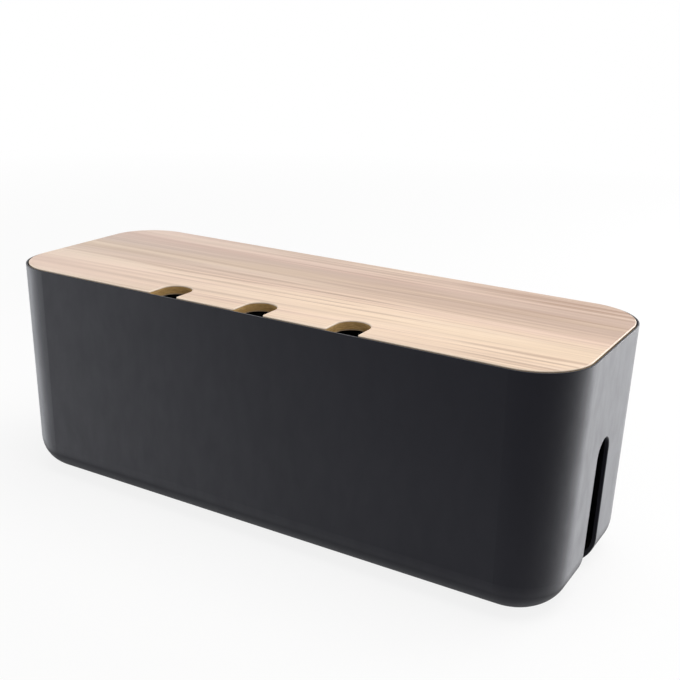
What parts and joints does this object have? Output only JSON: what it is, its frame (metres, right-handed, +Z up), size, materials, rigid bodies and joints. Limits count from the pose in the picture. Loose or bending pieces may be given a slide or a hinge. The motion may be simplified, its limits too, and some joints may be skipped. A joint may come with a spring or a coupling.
{
  "type": "cable management box",
  "caption": "Long rounded black plastic box for a power strip, with a cord slot in each end and a loose wooden lid notched along its front edge.",
  "frame": {"origin": "bottom centre of the box, on the surface that the feet stand on", "axes": "+X along the box to its right end, +Y from the notched front to the rear, +Z up"},
  "size_m": [0.4, 0.1454, 0.1508],
  "materials": {
    "tub_plastic": "fine matte moulded texture",
    "wood_core": "cut board edge, unpolished",
    "wood_face": "satin lacquered straight grain",
    "wood_backing": "satin, plain",
    "foot_rubber": "matte",
    "adhesive": "satin"
  },
  "bodies": {
    "box": {"tub": "tub_plastic", "foot_front_left": "foot_rubber", "foot_front_right": "foot_rubber", "foot_rear_left": "foot_rubber", "foot_rear_right": "foot_rubber", "foot_adhesive_discs": "adhesive"},
    "lid": {"lid_core": "wood_core", "lid_top_veneer": "wood_face", "lid_bottom_veneer": "wood_backing"}
  },
  "joints": [
    {"name": "lid_lift", "type": "slide", "parent": "box", "child": "lid", "axis": [0, 0, 1], "range_m": [0, 0.15]}
  ]
}
